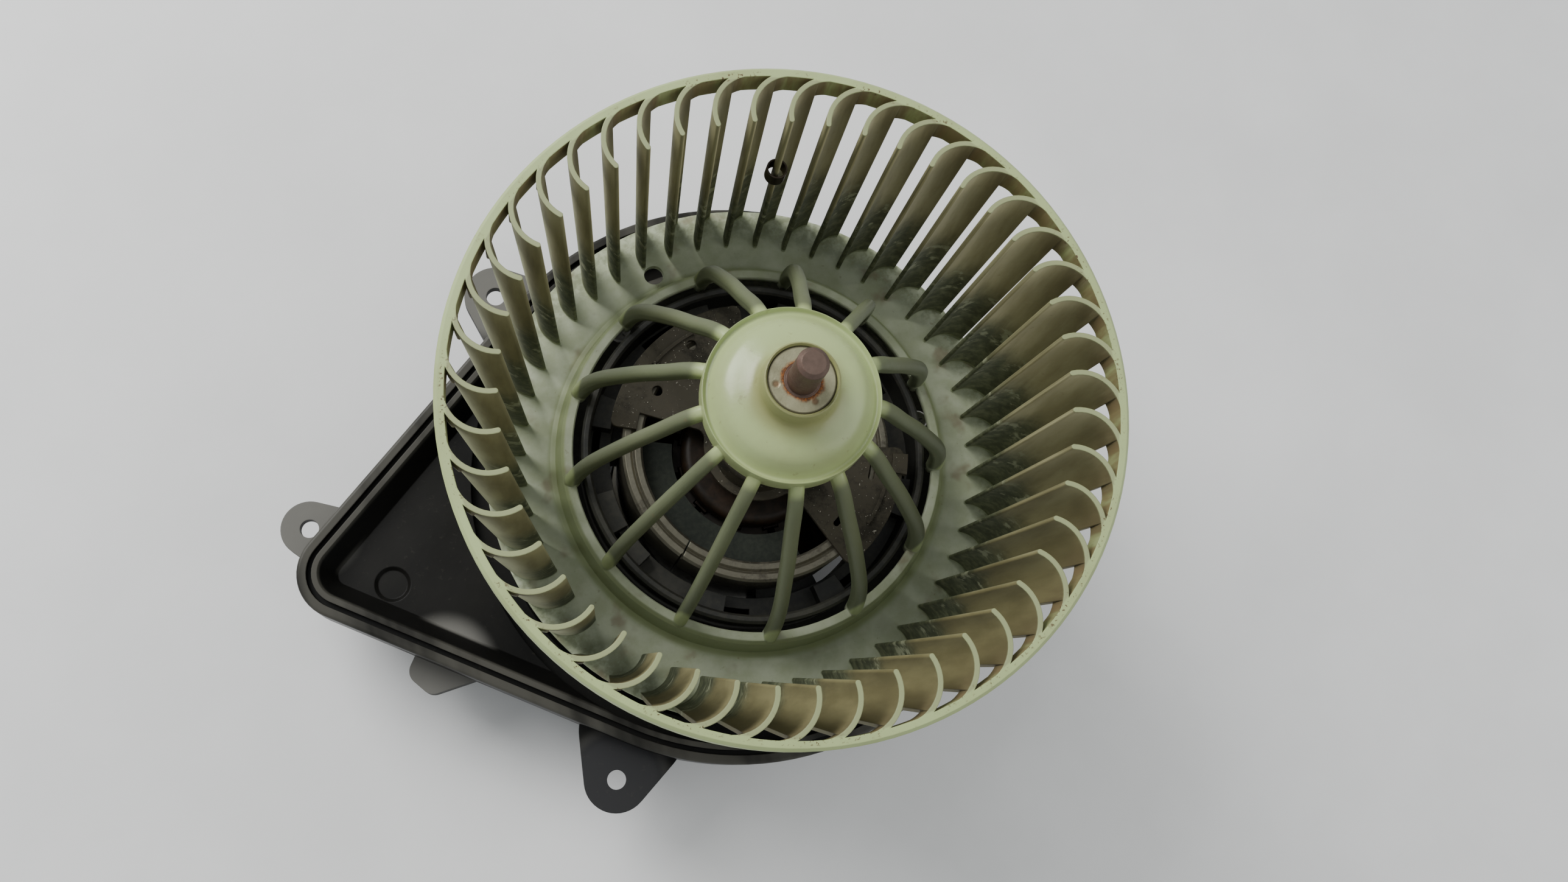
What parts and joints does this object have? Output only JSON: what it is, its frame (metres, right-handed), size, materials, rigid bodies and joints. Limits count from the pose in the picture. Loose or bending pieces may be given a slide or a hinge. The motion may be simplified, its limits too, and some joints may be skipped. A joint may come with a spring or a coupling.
{
  "type": "combustion fan",
  "caption": "Motor-driven squirrel-cage fan wheel with curved blades, on a teardrop mounting plate with screw ears.",
  "frame": {"origin": "centre of the motor's flat rear face, on the fan's axis", "axes": "+Z along the fan's axis towards the inlet and the shaft's free end; -X towards the point of the teardrop mounting plate"},
  "size_m": [0.2288, 0.1657, 0.1585],
  "materials": {
    "fan_plastic": "slightly translucent, dusty",
    "black_plastic": "semi-gloss",
    "zinc": "turned, dull",
    "shaft_steel": "light surface rust",
    "can_steel": "rolled strip",
    "stamped_steel": "stamped, browned",
    "core_steel": "laminated, varnished",
    "copper_wire": "enamelled copper",
    "copper_bar": "polished copper",
    "brass": "satin",
    "bronze": "sintered",
    "spring_steel": "satin",
    "screw_steel": "zinc plated",
    "ferrite": "smooth",
    "carbon": "pressed",
    "rubber": "matte",
    "felt": "oiled",
    "phenolic": "laminated board",
    "fibre": "smooth"
  },
  "bodies": {
    "housing": {"motor_can": "can_steel", "magnets": "ferrite", "magnet_springs": "spring_steel", "end_plate": "stamped_steel", "front_bearing": "bronze", "rear_bearing": "bronze", "front_oil_felt": "felt", "rear_oil_felt": "felt", "front_bearing_spring": "spring_steel", "rear_bearing_spring": "spring_steel", "brush_card": "phenolic", "brush_boxes": "brass", "brush_spring_a": "spring_steel", "brush_spring_b": "spring_steel", "choke_cores": "ferrite", "choke_coils": "copper_wire", "rear_cap": "black_plastic", "terminals": "brass", "thrust_button": "fibre", "mounting_plate": "black_plastic", "motor_holder": "black_plastic", "rubber_mounts": "rubber", "holder_screws": "screw_steel"},
    "rotor": {"fan_wheel": "fan_plastic", "hub_bush": "zinc", "balance_clip": "spring_steel", "motor_shaft": "shaft_steel", "armature_core": "core_steel", "armature_windings": "copper_wire", "commutator_core": "phenolic", "commutator_bars": "copper_bar", "thrust_washers": "fibre", "thrust_collar": "fibre"},
    "carbon_brush_a": {"brush_a": "carbon"},
    "carbon_brush_b": {"brush_b": "carbon"}
  },
  "joints": [
    {"name": "rotor_spin", "type": "hinge", "parent": "housing", "child": "rotor", "pos_m": [0, 0, 0.08], "axis": [0, 0, 1], "continuous": true},
    {"name": "brush_a_slide", "type": "slide", "parent": "housing", "child": "carbon_brush_a", "axis": [1, 0, 0], "range_m": [0, 0.004], "stiffness_N_per_m": 200, "springref_m": -0.005, "deforming": ["brush_spring_a"]},
    {"name": "brush_b_slide", "type": "slide", "parent": "housing", "child": "carbon_brush_b", "axis": [-1, 0, 0], "range_m": [0, 0.004], "stiffness_N_per_m": 200, "springref_m": -0.005, "deforming": ["brush_spring_b"]}
  ]
}
